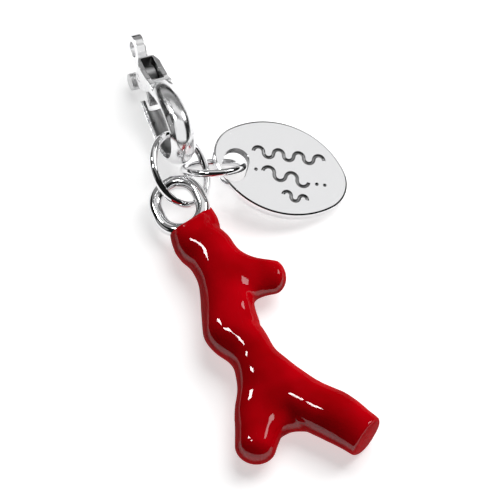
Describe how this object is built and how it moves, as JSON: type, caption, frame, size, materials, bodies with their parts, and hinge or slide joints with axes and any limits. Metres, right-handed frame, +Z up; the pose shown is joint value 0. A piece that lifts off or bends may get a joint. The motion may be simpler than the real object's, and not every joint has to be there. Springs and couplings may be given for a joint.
{
  "type": "coral charm",
  "caption": "Clip-on charm: a glossy red enamelled coral branch on a cast loop, with an oval tag, two jump rings and a lobster clasp, lying flat.",
  "frame": {"origin": "on the surface the charm lies on, at the centre of its bounding box", "axes": "+Z up off the surface, +Y along the charm towards the clasp's eye, +X towards the tag's side"},
  "size_m": [0.0222, 0.0522, 0.0074],
  "materials": {
    "enamel": "thick glossy red enamel over cast metal",
    "loop_metal": "polished rhodium plate",
    "ring_metal": "polished wire",
    "tag_metal": "polished flat sheet with fine engraved waves",
    "clasp_metal": "polished casting"
  },
  "bodies": {
    "charm": {"coral_branch": "enamel", "bail_loop": "loop_metal", "ring_large": "ring_metal", "ring_small": "ring_metal", "tag": "tag_metal", "clasp_body": "clasp_metal", "clasp_eye": "clasp_metal", "lever_pin": "clasp_metal"},
    "lever": {"clasp_lever": "clasp_metal"}
  },
  "joints": [
    {"name": "lever_hinge", "type": "hinge", "parent": "charm", "child": "lever", "pos_m": [-0.00344, 0.02111, 0.00343], "axis": [-0.992, 0.0189, 0.125], "range_deg": [0, 20], "stiffness_Nm_per_rad": 0.0015, "springref_deg": -20.05}
  ]
}
